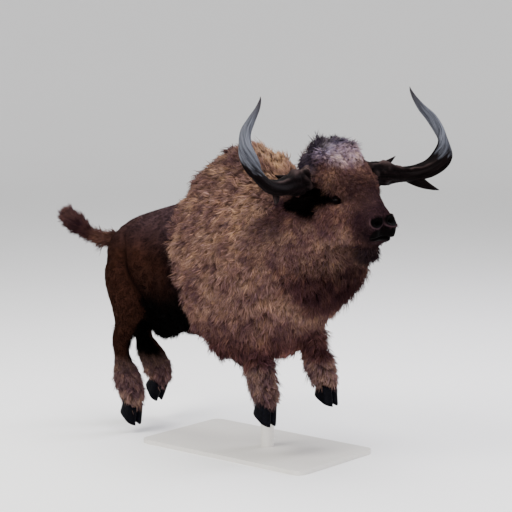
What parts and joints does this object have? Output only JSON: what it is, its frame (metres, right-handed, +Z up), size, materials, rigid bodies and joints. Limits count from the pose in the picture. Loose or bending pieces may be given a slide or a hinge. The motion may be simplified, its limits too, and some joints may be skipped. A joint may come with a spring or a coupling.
{
  "type": "wisent bull",
  "caption": "Life-size still model of a long-horned wisent bull in mid-leap, held on a plain flat display stand by one rod.",
  "frame": {"origin": "centre of the display base's underside, on the floor", "axes": "+X the way the body faces, +Y the animal's left side, +Z up"},
  "size_m": [3.0475, 1.67, 2.4423],
  "materials": {
    "woolly_hide": "woolly brown hide and coat",
    "ear_hide": "short dark hair",
    "horn_keratin": "horn, dark below and polished grey above",
    "hoof_keratin": "black hoof",
    "eye_glass": "dark glossy eye",
    "stand_paint": "pale grey satin paint"
  },
  "bodies": {
    "root": {"barrel": "woolly_hide", "ear_left": "ear_hide", "ear_right": "ear_hide", "eye_left": "eye_glass", "eye_right": "eye_glass", "forecannon_left": "woolly_hide", "forecannon_right": "woolly_hide", "forequarters": "woolly_hide", "head": "woolly_hide", "hindcannon_left": "woolly_hide", "hindcannon_right": "woolly_hide", "hindquarters": "woolly_hide", "hoof_fore_left_inner": "hoof_keratin", "hoof_fore_left_outer": "hoof_keratin", "hoof_fore_right_inner": "hoof_keratin", "hoof_fore_right_outer": "hoof_keratin", "hoof_hind_left_inner": "hoof_keratin", "hoof_hind_left_outer": "hoof_keratin", "hoof_hind_right_inner": "hoof_keratin", "hoof_hind_right_outer": "hoof_keratin", "horn_left": "horn_keratin", "horn_right": "horn_keratin", "muzzle": "woolly_hide", "neck": "woolly_hide", "shank_left": "woolly_hide", "shank_right": "woolly_hide", "stand_base": "stand_paint", "stand_rod": "stand_paint", "tail_stem": "woolly_hide", "tail_tuft": "woolly_hide"}
  },
  "joints": []
}
